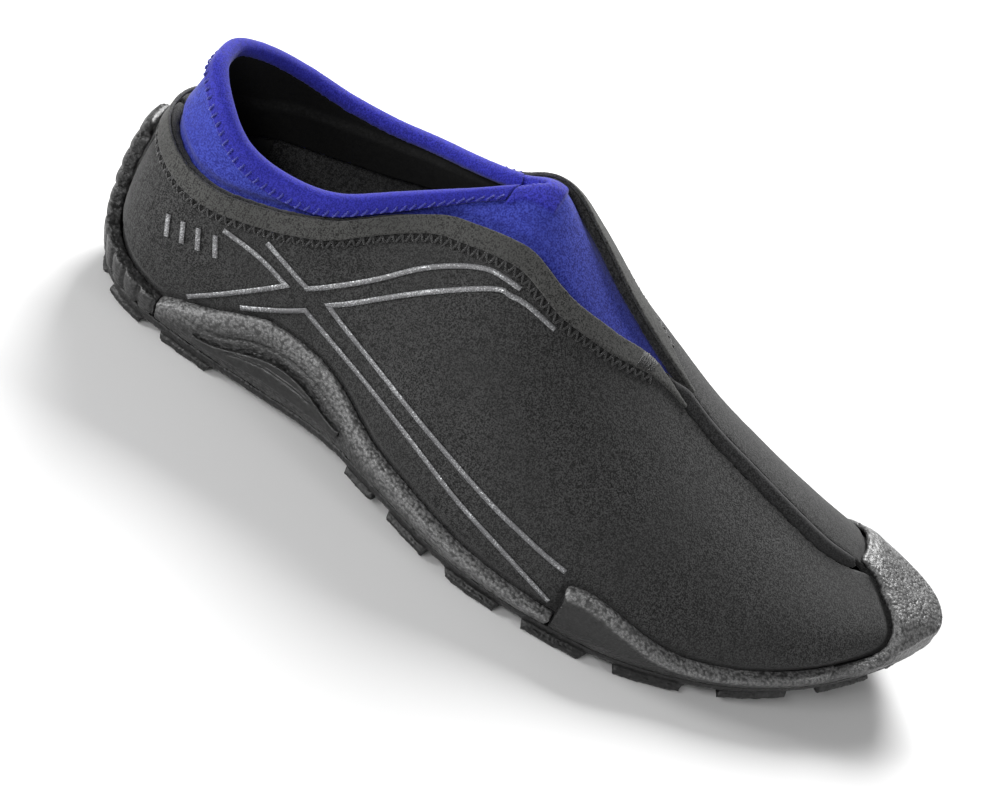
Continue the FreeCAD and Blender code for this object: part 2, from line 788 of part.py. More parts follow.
def make_welt():
    """Raised piping along the seam from the throat to the toe cap, lower where it meets the cap."""

    def point(s, v, w):
        a = rib_length(s % COUNT) - WELT_HALF_WIDTH * (1 - v)
        rise = WELT_RISE * (1 - WELT_SINK * ease((from_heel(s) - WELT_FADE) / (TOE - WELT_FADE)))
        return skin(s, a, rise * math.sin(math.pi / 2 * (0.15 + 0.85 * v)) if w else -WELT_DEPTH)

    lateral = rows_between(WELT_START, WELT_END)
    medial = [COUNT - s for s in reversed(lateral)]
    columns = spread(0, 1, 6)
    faces = layer_faces(lateral, columns, point, ("low", "start", "end"))
    faces += layer_faces(medial, columns, point, ("low", "start", "end"))
    return closed_solid(faces)


# ---- Thread and print ----


def thread(start, end):
    run = end - start
    return Part.makeCylinder(THREAD_RADIUS, run.Length, start, run)


def along(start, end, pitch, height):
    """Stations from start to end at an even pitch along the line height(s) on the last."""
    stations = [start]
    here = start
    last = skin(here, height(here), 0)
    while here < end:
        here += 0.01
        there = skin(here, height(here), 0)
        if (there - last).Length >= pitch:
            stations.append(here)
            last = there
    return stations


def make_hem_stitching():
    """Zigzag seam just below the hem."""

    def line(s):
        return hem_low(s) - ZIGZAG_HEIGHT / 2 - EDGE_GAP

    stations = along(COUNT - THROAT, COUNT + THROAT, ZIGZAG_PITCH / 2, line)
    lift = THREAD_RADIUS + BOND
    points = []
    for k, s in enumerate(stations):
        points.append(skin(s, line(s) + ZIGZAG_HEIGHT / 2 * (1 if k % 2 else -1), lift))
    threads = []
    for a, b in zip(points, points[1:]):
        threads.append(thread(a + (b - a) * STITCH_SETBACK, b - (b - a) * STITCH_SETBACK))
    return Part.Compound(threads)


def make_binding_stitching():
    """Slanted stitches through the outer edge of the binding."""

    def line(s):
        return rib_length(s % COUNT) - BINDING_LEG + BOND

    lift = BINDING_MIDDLE + BINDING_RADIUS + BINDING_THICKNESS / 2 + THREAD_RADIUS + BOND
    stations = along(COUNT - MOUTH_FRONT + STITCH_END, COUNT + MOUTH_FRONT - STITCH_END, ZIGZAG_PITCH, line)
    bars = []
    for s in stations:
        bars.append(thread(skin(s, line(s), lift), skin(s + STITCH_SLANT, line(s) + ZIGZAG_HEIGHT, lift)))
    return Part.Compound(bars)


def make_bartack():
    """Heavy stitches that close the bottom of the throat, on the lateral hem."""
    lift = BOND + HEM_THICKNESS + BOND + THREAD_RADIUS
    bars = []
    for s in spread(BARTACK_SPAN[0], BARTACK_SPAN[1], BARTACK_STITCHES):
        top = topline(s) - BARTACK_MARGIN
        bars.append(thread(skin(s, top - HEM_WIDTH * BARTACK_REACH, lift), skin(s, top, lift)))
    return Part.Compound(bars)


def ribbon(corners):
    """Printed line of even width through (station, height) corners, each leg curved with the last."""
    path = []
    for leg in corners:
        count = 9
        path.append([(follow_leg(leg, k / (count - 1))) for k in range(count)])
    base = [[skin(s, a, PRINT_LIFT) for s, a in leg] for leg in path]
    faces = []
    for k, leg in enumerate(base):
        normals = [unit(skin(s, a, 1) - skin(s, a, 0)) for s, a in path[k]]
        runs = [unit(leg[min(i + 1, len(leg) - 1)] - leg[max(i - 1, 0)]) for i in range(len(leg))]
        sides = [n.cross(r) * (STRIPE_WIDTH / 2) for n, r in zip(normals, runs)]
        if k > 0:
            sides[0] = mitre(normals[0], base[k - 1][-1] - base[k - 1][-2], leg[1] - leg[0])
        if k < len(base) - 1:
            sides[-1] = mitre(normals[-1], leg[-1] - leg[-2], base[k + 1][1] - base[k + 1][0])

        def point(i, v, w):
            return leg[i] + sides[i] * v + normals[i] * (PRINT_THICKNESS * w)

        walls = ["low", "high"] + (["start"] if k == 0 else []) + (["end"] if k == len(base) - 1 else [])
        faces += layer_faces(range(len(leg)), (-1, 1), point, walls)
    return closed_solid(faces)


def mitre(normal, before, after):
    first = unit(normal.cross(before))
    second = unit(normal.cross(after))
    middle = unit(first + second)
    return middle * (STRIPE_WIDTH / 2 / middle.dot(first))


def follow_leg(leg, f):
    """Point at a share of a leg that runs smoothly through its (station, height) points."""
    place = f * (len(leg) - 1)
    pairs_s = [(k, p[0]) for k, p in enumerate(leg)]
    pairs_a = [(k, p[1]) for k, p in enumerate(leg)]
    if len(leg) == 2:
        return leg[0][0] + (leg[1][0] - leg[0][0]) * f, leg[0][1] + (leg[1][1] - leg[0][1]) * f
    return follow(pairs_s, place), follow(pairs_a, place)


def make_stripes(medial):
    lines = []
    for legs in STRIPES:
        if medial:
            legs = tuple(tuple((COUNT - s, a) for s, a in leg) for leg in legs)
        lines.append(ribbon(legs))
    return Part.Compound(lines)


def make_heel_mark():
    """Plain row of slanted bars printed beside the heel."""
    bars = []
    for k in range(MARK_BARS):
        s = MARK_START[0] + k * MARK_STEP[0]
        a = MARK_START[1] + k * MARK_STEP[1]
        bars.append(ribbon((((s, a), (s + MARK_SLANT[0], a + MARK_SLANT[1])),)))
    return Part.Compound(bars)


def build():
    return {
        "outsole": make_outsole(),
        "midsole": make_midsole(),
        "strobel_board": inner_plate(BOARD_LOW, BOARD_THICKNESS),
        "footbed_foam": inner_plate(FOOTBED_LOW, FOOTBED_THICKNESS, FOAM_INSET),
        "footbed_cover": inner_plate(COVER_LOW, COVER_THICKNESS, COVER_INSET),
        "toe_rand": make_toe_rand(),
        "midfoot_rand_lateral": make_wave(False),
        "midfoot_rand_medial": make_wave(True),
        "heel_bumper": make_heel_bumper(),
        "shank_insert_lateral": make_insert(False),
        "shank_insert_medial": make_insert(True),
        "upper_lateral": make_upper(0, TOE),
        "upper_medial": make_upper(TOE, COUNT),
        "heel_counter": make_heel_counter(),
        "toe_puff": make_toe_puff(),
        "collar": make_collar(),
        "collar_binding": make_binding(),
        "collar_lining": make_collar_lining(),
        "topline_hem": make_hem(),
        "vamp_welt": make_welt(),
        "hem_stitching": make_hem_stitching(),
        "binding_stitching": make_binding_stitching(),
        "throat_bartack": make_bartack(),
        "stripes_lateral": make_stripes(False),
        "stripes_medial": make_stripes(True),
        "heel_mark": make_heel_mark(),
    }


def main():
    os.makedirs("parts", exist_ok=True)
    nodes = build()
    box = FreeCAD.BoundBox()
    for shape in nodes.values():
        box.add(shape.optimalBoundingBox(False, False))
    shift = Vector(-box.Center.x, -box.Center.y, -box.ZMin)
    for name, shape in nodes.items():
        shape.translate(shift)
        shape.exportStep("parts/" + name + ".step")
        print(name, len(shape.Solids), shape.isValid(), round(shape.Volume))
    print("size", round(box.XLength, 1), round(box.YLength, 1), round(box.ZLength, 1), "shift", shift)


main()
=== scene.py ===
import math
import random

import bmesh
import bpy
import numpy as np
from mathutils import Matrix, Vector, noise
from mathutils.bvhtree import BVHTree
from mathutils.kdtree import KDTree


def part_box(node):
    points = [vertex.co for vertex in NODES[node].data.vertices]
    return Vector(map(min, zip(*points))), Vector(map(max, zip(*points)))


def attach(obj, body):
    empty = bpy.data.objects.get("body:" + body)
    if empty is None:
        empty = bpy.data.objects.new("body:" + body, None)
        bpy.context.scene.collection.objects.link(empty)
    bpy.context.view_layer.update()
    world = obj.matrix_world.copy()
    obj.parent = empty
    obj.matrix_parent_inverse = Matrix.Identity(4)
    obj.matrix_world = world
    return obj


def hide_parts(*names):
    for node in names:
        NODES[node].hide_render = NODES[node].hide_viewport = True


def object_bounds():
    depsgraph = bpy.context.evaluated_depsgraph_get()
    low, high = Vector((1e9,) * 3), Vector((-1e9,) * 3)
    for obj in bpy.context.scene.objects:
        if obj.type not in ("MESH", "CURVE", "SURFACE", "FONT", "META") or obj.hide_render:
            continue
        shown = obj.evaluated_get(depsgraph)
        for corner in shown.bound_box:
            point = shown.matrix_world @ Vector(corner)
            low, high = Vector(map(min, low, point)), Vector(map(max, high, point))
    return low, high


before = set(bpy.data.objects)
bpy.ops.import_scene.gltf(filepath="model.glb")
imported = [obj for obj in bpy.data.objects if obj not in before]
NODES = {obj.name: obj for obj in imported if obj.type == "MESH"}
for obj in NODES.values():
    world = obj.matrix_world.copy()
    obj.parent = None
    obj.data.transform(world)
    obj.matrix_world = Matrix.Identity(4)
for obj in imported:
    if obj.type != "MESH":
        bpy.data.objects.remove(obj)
cad_low, cad_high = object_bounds()
MM = 0.001
WELD_DISTANCE = 2e-6
SOFTEN_FACTOR = 0.5

# Folds of every surface: their stretch along each axis, how far they wander, their finer layer
FOLD_STRETCH = (1, 1, 1.3)
FOLD_WARP, FOLD_WARP_SCALE = 0.6, 0.7
FOLD_DETAIL, FOLD_DETAIL_SCALE = 0.5, 2.1
random.seed(7)


# ---------------------------------------------------------------- mesh tools

def new_object(name, mesh):
    """A mesh object in the scene."""
    piece = bpy.data.objects.new(name, mesh)
    bpy.context.scene.collection.objects.link(piece)
    return piece


def coordinates(piece):
    """Where each vertex is, one row per vertex."""
    values = np.empty(len(piece.data.vertices) * 3, np.float32)
    piece.data.vertices.foreach_get("co", values)
    return values.reshape(-1, 3).astype(float)


def directions(piece):
    """The outward normal of each vertex, one row per vertex."""
    values = np.empty(len(piece.data.vertices) * 3, np.float32)
    piece.data.vertex_normals.foreach_get("vector", values)
    return values.reshape(-1, 3).astype(float)


def place(piece, points):
    """Puts each vertex at its row."""
    piece.data.vertices.foreach_set("co", np.asarray(points, np.float32).ravel())
    piece.data.update()


def apply_modifiers(piece):
    """Makes the shape that the modifiers give the piece's own mesh."""
    graph = bpy.context.evaluated_depsgraph_get()
    mesh = bpy.data.meshes.new_from_object(piece.evaluated_get(graph))
    piece.modifiers.clear()
    old = piece.data
    piece.data = mesh
    bpy.data.meshes.remove(old)


def smooth_shading(piece):
    piece.data.polygons.foreach_set("use_smooth", [True] * len(piece.data.polygons))
    piece.data.update()


def welded(name, nodes):
    """A new object holding the meshes of one or more CAD nodes, with their split edges welded."""
    shape = bmesh.new()
    for node in nodes:
        shape.from_mesh(NODES[node].data)
    bmesh.ops.remove_doubles(shape, verts=shape.verts, dist=WELD_DISTANCE)
    mesh = bpy.data.meshes.new(name)
    shape.to_mesh(mesh)
    shape.free()
    mesh.materials.clear()
    return new_object(name, mesh)


def remeshed(piece, voxel, rounds):
    """Turns the piece into one even quad mesh, with edges softened in so many rounds."""
    remesh = piece.modifiers.new("voxels", "REMESH")
    remesh.mode = "VOXEL"
    remesh.voxel_size = voxel
    soften = piece.modifiers.new("soften", "SMOOTH")
    soften.factor = SOFTEN_FACTOR
    soften.iterations = rounds
    apply_modifiers(piece)
    smooth_shading(piece)
    return piece


def rise(value, low, high):
    """0 below low, 1 above high, and smooth between."""
    t = np.clip((value - low) / (high - low), 0, 1)
    return t * t * (3 - 2 * t)


def cad_points(node):
    """Every vertex of a CAD node."""
    return np.array([v.co for v in NODES[node].data.vertices])


def surface_tree(objects):
    """One search tree over the faces of several objects."""
    points, faces = [], []
    for piece in objects:
        start = len(points)
        points.extend(tuple(v.co) for v in piece.data.vertices)
        faces.extend(tuple(start + i for i in polygon.vertices) for polygon in piece.data.polygons)
    return BVHTree.FromPolygons(points, faces)


def mark(piece, name, values):
    """Keeps a number on every point, for the material to read."""
    layer = piece.data.attributes.new(name, "FLOAT", "POINT")
    layer.data.foreach_set("value", values.astype(np.float32))


def move(piece, height):
    """Moves each vertex out along its normal by its height."""
    place(piece, coordinates(piece) + directions(piece) * height[:, None])


def wrinkled(points, size):
    """A height from about -1 to 1 at each point, with crossing leathery folds."""
    heights = np.empty(len(points))
    for index, point in enumerate(points * (np.array(FOLD_STRETCH) / size)):
        v = Vector(point)
        w = v + FOLD_WARP * noise.noise_vector(v * FOLD_WARP_SCALE)
        heights[index] = noise.noise(w) + FOLD_DETAIL * noise.noise(w * FOLD_DETAIL_SCALE)
    return heights


def relief(piece, depth, size):
    """Moves the surface in and out by depth, so that its folds are real."""
    move(piece, wrinkled(coordinates(piece), size) * depth)


def finish_piece(piece, look, node):
    """Gives the piece its material, and shows it in place of the CAD node."""
    piece.data.materials.clear()
    piece.data.materials.append(look)
    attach(piece, "root")
    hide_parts(node)
    return piece


# ---------------------------------------------------------------- material tools

class Look:
    """A node material with the few building blocks that the surfaces share."""

    def __init__(self, name, rough, **shader):
        self.material = bpy.data.materials.new(name)
        self.material.use_nodes = True
        self.nodes = self.material.node_tree.nodes
        self.links = self.material.node_tree.links
        self.shader = self.nodes["Principled BSDF"]
        self.shader.inputs["Roughness"].default_value = rough
        for key, value in shader.items():
            self.shader.inputs[key.replace("_", " ")].default_value = value
        self.where = self.nodes.new("ShaderNodeTexCoord").outputs["Object"]

    def link(self, value, socket):
        if isinstance(value, bpy.types.NodeSocket):
            self.links.new(value, socket)
        else:
            socket.default_value = value

    def noise(self, size, detail=2.0, stretch=(1, 1, 1), warp=0.0):
        """Noise whose features are about size metres."""
        node = self.nodes.new("ShaderNodeTexNoise")
        node.inputs["Scale"].default_value = 1.0 / size
        node.inputs["Detail"].default_value = detail
        node.inputs["Distortion"].default_value = warp
        self.links.new(self.mapped(stretch), node.inputs["Vector"])
        return node.outputs["Fac"]

    def mapped(self, stretch):
        """The object's own coordinates, scaled apart along each axis."""
        if tuple(stretch) == (1, 1, 1):
            return self.where
        node = self.nodes.new("ShaderNodeMapping")
        node.inputs["Scale"].default_value = stretch
        self.links.new(self.where, node.inputs["Vector"])
        return node.outputs["Vector"]

    def cells(self, size, feature):
        """Distance to the middle of cells about size metres wide."""
        node = self.nodes.new("ShaderNodeTexVoronoi")
        node.feature = feature
        node.inputs["Scale"].default_value = 1.0 / size
        self.links.new(self.where, node.inputs["Vector"])
        return node.outputs["Distance"]

    def attribute(self, name):
        """A number kept on the mesh's points, 0 where the mesh has none of that name."""
        node = self.nodes.new("ShaderNodeAttribute")
        node.attribute_name = name
        return node.outputs["Fac"]

    def ramp(self, value, low, high, start=0.0, end=1.0):
        """Goes from start to end as the value goes from low to high, and stays level outside."""
        node = self.nodes.new("ShaderNodeMapRange")
        self.link(value, node.inputs["Value"])
        node.inputs["From Min"].default_value = low
        node.inputs["From Max"].default_value = high
        node.inputs["To Min"].default_value = start
        node.inputs["To Max"].default_value = end
        node.clamp = True
        return node.outputs["Result"]

    def math(self, operation, a, b=0.0):
        node = self.nodes.new("ShaderNodeMath")
        node.operation = operation
        self.link(a, node.inputs[0])
        self.link(b, node.inputs[1])
        return node.outputs[0]

    def mix(self, factor, a, b):
        node = self.nodes.new("ShaderNodeMix")
        node.data_type = "RGBA"
        self.link(factor, node.inputs["Factor"])
        for value, socket in ((a, node.inputs[6]), (b, node.inputs[7])):
            self.link(value if isinstance(value, bpy.types.NodeSocket) else (*value, 1), socket)
        return node.outputs[2]

    def pointiness(self):
        return self.nodes.new("ShaderNodeNewGeometry").outputs["Pointiness"]

    def colour(self, value):
        colour = value if isinstance(value, bpy.types.NodeSocket) else (*value, 1)
        self.link(colour, self.shader.inputs["Base Color"])

    def roughness(self, value):
        self.link(value, self.shader.inputs["Roughness"])

    def bump(self, *layers):
        """Each layer is a height from 0 to 1 and its depth in metres."""
        normal = None
        for height, depth in layers:
            node = self.nodes.new("ShaderNodeBump")
            node.inputs["Distance"].default_value = depth
            node.inputs["Strength"].default_value = 1.0
            self.links.new(height, node.inputs["Height"])
            if normal is not None:
                self.links.new(normal, node.inputs["Normal"])
            normal = node.outputs["Normal"]
        self.links.new(normal, self.shader.inputs["Normal"])


def jersey(name, dark, light, grain=0.42 * MM, depth=0.11 * MM, sheen=0.12, wale=0.10, band=None):
    """Fine knitted face on neoprene: speckled grain, faint wales and slow colour drift.

    The points marked "band" take the band's own pair of colours."""
    look = Look(name, 0.88, Sheen_Weight=sheen, Sheen_Roughness=0.5, Specular_IOR_Level=0.22)
    fine = look.noise(grain, 1.0)
    coarse = look.noise(2.4 * grain, 1.0)
    drift = look.noise(30 * MM, 2.0)
    wales = look.noise(0.5 * MM, 0.0, stretch=(1, 1, 0.12))
    speckle = look.math("ADD", look.math("MULTIPLY", fine, 0.62),
                        look.math("MULTIPLY", coarse, 0.28))
    speckle = look.math("ADD", speckle, look.math("MULTIPLY", wales, wale))
    tone = look.ramp(speckle, 0.41, 0.61)
    mid = tuple(0.6 * a + 0.4 * b for a, b in zip(dark, light))
    base = look.mix(tone, dark, light)
    base = look.mix(look.ramp(drift, 0.35, 0.7, 0.0, 0.45), base, mid)
    if band:
        base = look.mix(look.attribute("band"), base, look.mix(tone, band[0], band[1]))
    look.colour(base)
    look.roughness(look.ramp(coarse, 0.3, 0.7, 0.75, 0.95))
    look.bump((speckle, depth), (look.noise(2.2 * MM, 1.0), 0.06 * MM))
    return look.material


# Painted highlight: the pale grey that the rubber's lip is given
PAINTED_HIGHLIGHT_GREY = (0.21, 0.21, 0.21)
PEBBLE_GRAIN = 0.9 * MM


def rubber(name, dark, light, rough=(0.32, 0.50), pebble=0.30 * MM):
    """Moulded rubber: pebbles with painted shade in their creases, shallow folds, fine pits, a dull
    bloom, lighter convex edges and a painted highlight on the lip.
    """
    look = Look(name, 0.4, Specular_IOR_Level=0.55, Coat_Weight=0.1, Coat_Roughness=0.22)
    pebbles = look.cells(PEBBLE_GRAIN, "SMOOTH_F1")
    folds = look.noise(2.4 * PEBBLE_GRAIN, 2.0, stretch=(1.0, 1, 1.3), warp=1.2)
    pits = look.noise(0.4 * PEBBLE_GRAIN, 2.0)
    bloom = look.noise(14 * MM, 3.0)
    lip_highlight = look.attribute("lip_highlight")
    # Lighter on convex edges
    convex_edges = look.ramp(look.pointiness(), 0.505, 0.60)
    tone = look.math("ADD", look.math("MULTIPLY", folds, 0.6), look.math("MULTIPLY", pits, 0.4))
    base = look.mix(look.ramp(tone, 0.40, 0.60), dark, light)
    base = look.mix(look.ramp(bloom, 0.4, 0.75, 0.0, 0.3), base, tuple(1.4 * c for c in light))
    # Painted shade: the colour darkens in the creases between the pebbles
    pebble_crease_shade = look.ramp(pebbles, 0.30, 0.62)
    base = look.mix(look.math("MULTIPLY", convex_edges, 0.4), base, tuple(2.2 * c for c in light))
    # Painted highlight on the lip, broken up by the pits
    rubbed_print_and_lip_highlight = look.math("MULTIPLY", lip_highlight, look.ramp(pits, 0.35, 0.6, 0.35, 1.0))
    base = look.mix(rubbed_print_and_lip_highlight, base, PAINTED_HIGHLIGHT_GREY)
    look.colour(look.mix(look.math("MULTIPLY", pebble_crease_shade, 0.75), base, dark))
    shine = look.math("ADD", look.math("MULTIPLY", pits, 0.4), look.math("MULTIPLY", bloom, 0.6))
    look.roughness(look.ramp(shine, 0.3, 0.7, rough[0], rough[1]))
    look.bump((pebbles, -pebble), (folds, 1.2 * pebble), (pits, 0.4 * pebble))
    return look.material


def foam(name, dark, light):
    """Foam or felt: small bubbles under a cloudy tone."""
    look = Look(name, 0.8, Specular_IOR_Level=0.3)
    bubbles = look.cells(0.5 * MM, "F1")
    cloud = look.noise(5 * MM, 3.0)
    look.colour(look.mix(look.ramp(look.math("ADD", bubbles, cloud), 0.4, 1.1), dark, light))
    look.roughness(look.ramp(cloud, 0.3, 0.7, 0.7, 0.9))
    look.bump((bubbles, 0.06 * MM))
    return look.material


def thread_look(name, dark, light):
    """Twisted thread: fine fibres and a slow change of tone."""
    look = Look(name, 0.55, Sheen_Weight=0.4, Sheen_Roughness=0.4, Specular_IOR_Level=0.45)
    fibre = look.noise(0.12 * MM, 2.0)
    stain = look.noise(4 * MM, 1.0)
    base = look.mix(look.ramp(fibre, 0.35, 0.65), dark, light)
    look.colour(look.mix(look.ramp(stain, 0.4, 0.7, 0.0, 0.4), base, dark))
    look.roughness(look.ramp(fibre, 0.3, 0.7, 0.45, 0.7))
    look.bump((fibre, 0.05 * MM))
    return look.material


def print_look(name):
    """Silver transfer print, with the jersey's grain breaking through it."""
    look = Look(name, 0.42, Specular_IOR_Level=0.6)
    grain = look.noise(0.42 * MM, 2.0)
    rubbed_print_and_lip_highlight = look.noise(7 * MM, 2.0)
    cover = look.ramp(look.math("ADD", grain, look.math("MULTIPLY", rubbed_print_and_lip_highlight, 0.35)), 0.48, 0.66)
    look.colour(look.mix(cover, (0.50, 0.51, 0.52), (0.13, 0.13, 0.135)))
    look.roughness(look.ramp(grain, 0.35, 0.65, 0.32, 0.62))
    look.link(look.ramp(cover, 0.0, 1.0, 0.55, 0.1), look.shader.inputs["Metallic"])
    look.bump((grain, 0.08 * MM))
    return look.material


def grey(tone):
    return (tone, tone, tone)


TAPE_BLUES = ((0.006, 0.006, 0.16), (0.030, 0.032, 0.36))

CHARCOAL = jersey("charcoal jersey", grey(0.001), grey(0.058), depth=0.18 * MM)
WELT_CLOTH = jersey("welt jersey", grey(0.006), (0.040, 0.040, 0.041))
HEM_CLOTH = jersey("hem tape", (0.005, 0.005, 0.0048), (0.075, 0.075, 0.072), wale=0.2)
BLUE_KNIT = jersey("blue knit", (0.008, 0.011, 0.16), (0.048, 0.066, 0.40), grain=0.5 * MM,
                   depth=0.13 * MM, band=TAPE_BLUES)
BLUE_TAPE = jersey("blue tape", *TAPE_BLUES, depth=0.13 * MM)
LINING_CLOTH = jersey("black lining", grey(0.0006), (0.004, 0.004, 0.0035), sheen=0.02)
TREAD_RUBBER = rubber("tread rubber", grey(0.001), grey(0.006), rough=(0.42, 0.62))
BLACK_RUBBER = rubber("black rubber", grey(0.002), grey(0.010))
# Painted highlight: the heel bumper and midfoot rands are the same dark rubber as the toe rand,
# painted paler for the light that falls on them
SIDEWALL_RUBBER_PAINTED_LIGHT = rubber("sidewall rubber, painted lighter", grey(0.004), grey(0.050))
INSERT_RUBBER = rubber("insert rubber", grey(0.005), grey(0.022), pebble=0.07 * MM)
SOLE_FOAM = foam("sole foam", (0.008, 0.008, 0.0085), (0.024, 0.024, 0.025))
BOARD_FLEECE = foam("board fleece", grey(0.010), (0.030, 0.030, 0.029))
STIFF_SHEET = foam("stiffener sheet", grey(0.008), (0.022, 0.022, 0.021))
BLACK_THREAD = thread_look("black thread", grey(0.004), grey(0.040))
BLUE_THREAD = thread_look("blue thread", (0.006, 0.008, 0.14), (0.040, 0.050, 0.40))
SILVER_PRINT = print_look("silver print")


# ---------------------------------------------------------------- rubber bottom

def edge_line(points, across, along, pick, step=4 * MM):
    """The lowest or highest value of one coordinate at each place along another."""
    places = np.arange(points[:, along].min() + step / 2, points[:, along].max(), step)
    values = [pick(points[np.abs(points[:, along] - x) < step, across]) for x in places]
    return places, np.array(values)


SOLE_POINTS = cad_points("outsole")
TREAD_X, TREAD_Z = edge_line(SOLE_POINTS, 2, 0, np.min)
SIDE_X, LOW_Y = edge_line(SOLE_POINTS, 1, 0, np.min)
HIGH_Y = edge_line(SOLE_POINTS, 1, 0, np.max)[1]
TREAD_SPREAD = 4
TREAD_Z = np.convolve(np.pad(TREAD_Z, TREAD_SPREAD, "edge"),
                      np.ones(2 * TREAD_SPREAD + 1) / (2 * TREAD_SPREAD + 1), "valid")

# The sole's edge narrows by TUCK from TUCK_HEIGHT down to the tread, but its lugs only a little
TUCK, TUCK_START, TUCK_HEIGHT = 0.075, 1.0 * MM, 11 * MM
LUG_SHARE, LUG_HEIGHT = 0.85, (1.6 * MM, 3.0 * MM)
END_START, END_TUCK = 0.09, 0.8


def sole_middle(x):
    """Middle line of the sole, half way between its two sides."""
    return (np.interp(x, SIDE_X, LOW_Y) + np.interp(x, SIDE_X, HIGH_Y)) / 2


def tucked(points):
    """Draws the sole's edge in towards the ground, as the hull of the real sole is."""
    height = points[:, 2] - np.interp(points[:, 0], TREAD_X, TREAD_Z)
    share = TUCK * (1 - rise(height, TUCK_START, TUCK_HEIGHT))
    share = share * (1 - LUG_SHARE * (1 - rise(height, *LUG_HEIGHT)))
    past_end = np.clip(np.abs(points[:, 0]) - END_START, 0, None) * np.sign(points[:, 0])
    moved = points.copy()
    moved[:, 1] -= (points[:, 1] - sole_middle(points[:, 0])) * share
    moved[:, 0] -= past_end * share * END_TUCK
    return moved


def valley(distance, half_width):
    """A round-bottomed groove: 1 at its middle, 0 from half_width on."""
    return np.clip(1 - (distance / half_width) ** 2, 0, 1)


GROOVE_PITCH, GROOVE_DEPTH, GROOVE_HALF = 6.6 * MM, 1.1 * MM, 1.0 * MM
BLOCK_SWELL, BLOCK_RAISE = 0.25 * MM, 0.7 * MM
STRIP_FOOT, CUP_RADIUS, CUP_START = 0.022, 0.030, 0.25


def grooved_heel(piece):
    """Cuts the short cross grooves that the heel strip and cup have, in their outer face."""
    points = coordinates(piece)
    low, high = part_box("heel_bumper")
    middle = (low.y + high.y) / 2
    turn = np.arctan2(np.abs(points[:, 1] - middle), high.x - points[:, 0] + 2 * MM)
    down = high.z - np.maximum(points[:, 2], STRIP_FOOT)
    run = down + CUP_RADIUS * np.clip(turn - CUP_START, 0, None)
    phase = np.abs((run / GROOVE_PITCH + 0.5) % 1.0 - 0.5) * GROOVE_PITCH
    cut = GROOVE_DEPTH * valley(phase, GROOVE_HALF)
    swell = BLOCK_SWELL * (1 + np.cos(2 * np.pi * run / GROOVE_PITCH))
    out = directions(piece)
    outward = np.clip(-out[:, 0] * 1.5 + np.abs(out[:, 1]), 0, 1)
    move(piece, -outward * (cut + swell - BLOCK_RAISE))


# Ribs on the toe cap: height of the middle, slope across the toe and half width in millimetres
TOE_RIBS = ((0.0175, 0.02, 0.7), (0.0215, 0.10, 0.8), (0.0255, 0.20, 0.7), (0.029, 0.28, 0.6))
TOE_RIB_HEIGHT, TOE_RIB_LEVEL, TOE_MIDDLE = 0.5 * MM, 0.4, -0.005


def ridged_toe(piece):
    """Raises the sloping ribs on the front of the toe cap."""
    points = coordinates(piece)
    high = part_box("toe_rand")[1]
    front = rise(points[:, 0], high.x - 0.030, high.x - 0.016)
    ribs = np.zeros(len(points))
    for level, lean, width in TOE_RIBS:
        line = level + lean * (points[:, 1] - TOE_MIDDLE)
        ribs += np.exp(-((points[:, 2] - line) / (width * MM)) ** 2)
    out = directions(piece)
    outward = np.clip(out[:, 0] + 0.5 * out[:, 2], 0, 1)
    move(piece, TOE_RIB_HEIGHT * (ribs - TOE_RIB_LEVEL) * front * outward)


def insert_line(side):
    """Top and bottom line of the lens-shaped insert, along its length."""
    points = cad_points(f"shank_insert_{side}")
    places, tops = edge_line(points, 2, 0, np.max, 3 * MM)
    lows = edge_line(points, 2, 0, np.min, 3 * MM)[1]
    return places, tops, lows


CONTOUR_RISE, CONTOUR_DEPTH, CONTOUR_HALF = 2.4 * MM, 0.6 * MM, 0.55 * MM
CONTOUR_LEAD, CONTOUR_TAIL = 0.008, 0.012


def lined_wave(side):
    """A function that cuts the contour line over the insert, in the wave's outer face."""
    places, tops, _ = insert_line(side)
    sign = -1 if side == "lateral" else 1

    def cut(piece):
        points = coordinates(piece)
        x = points[:, 0]
        line = np.interp(x, places, tops) + CONTOUR_RISE
        near = rise(x, places[0] - CONTOUR_LEAD, places[0])
        near = near * (1 - rise(x, places[-1], places[-1] + CONTOUR_TAIL))
        outward = np.clip(1.5 * sign * directions(piece)[:, 1], 0, 1)
        groove = valley(np.abs(points[:, 2] - line), CONTOUR_HALF)
        move(piece, -CONTOUR_DEPTH * groove * near * outward)

    return cut


SLIT_HEIGHT, SLIT_DEPTH, SLIT_HALF = 0.62, 0.85 * MM, 0.8 * MM
SLIT_START, SLIT_END = (0.15, 0.25), (0.75, 0.88)


def slit_insert(side):
    """A function that cuts the slit along the middle of the insert."""
    places, tops, lows = insert_line(side)

    def cut(piece):
        points = coordinates(piece)
        share = (points[:, 0] - places[0]) / (places[-1] - places[0])
        line = np.interp(points[:, 0], places, SLIT_HEIGHT * tops + (1 - SLIT_HEIGHT) * lows)
        near = rise(share, *SLIT_START) * (1 - rise(share, *SLIT_END))
        groove = valley(np.abs(points[:, 2] - line), SLIT_HALF)
        move(piece, -SLIT_DEPTH * groove * near * np.clip(np.abs(directions(piece)[:, 1]), 0, 1))

    return cut


# The bead's width; how the painted highlight on it fades, how strong it is on the toe's upper
# faces, and where on the toe it starts and is full
LIP_WIDTH, LIP_FADE, TOE_LIP_HIGHLIGHT = 1.5 * MM, 1.4, 0.75
TOE_START, TOE_FULL = 60 * MM, 35 * MM
FEWEST_POINTS = 20
NO_EDGE = 1.0


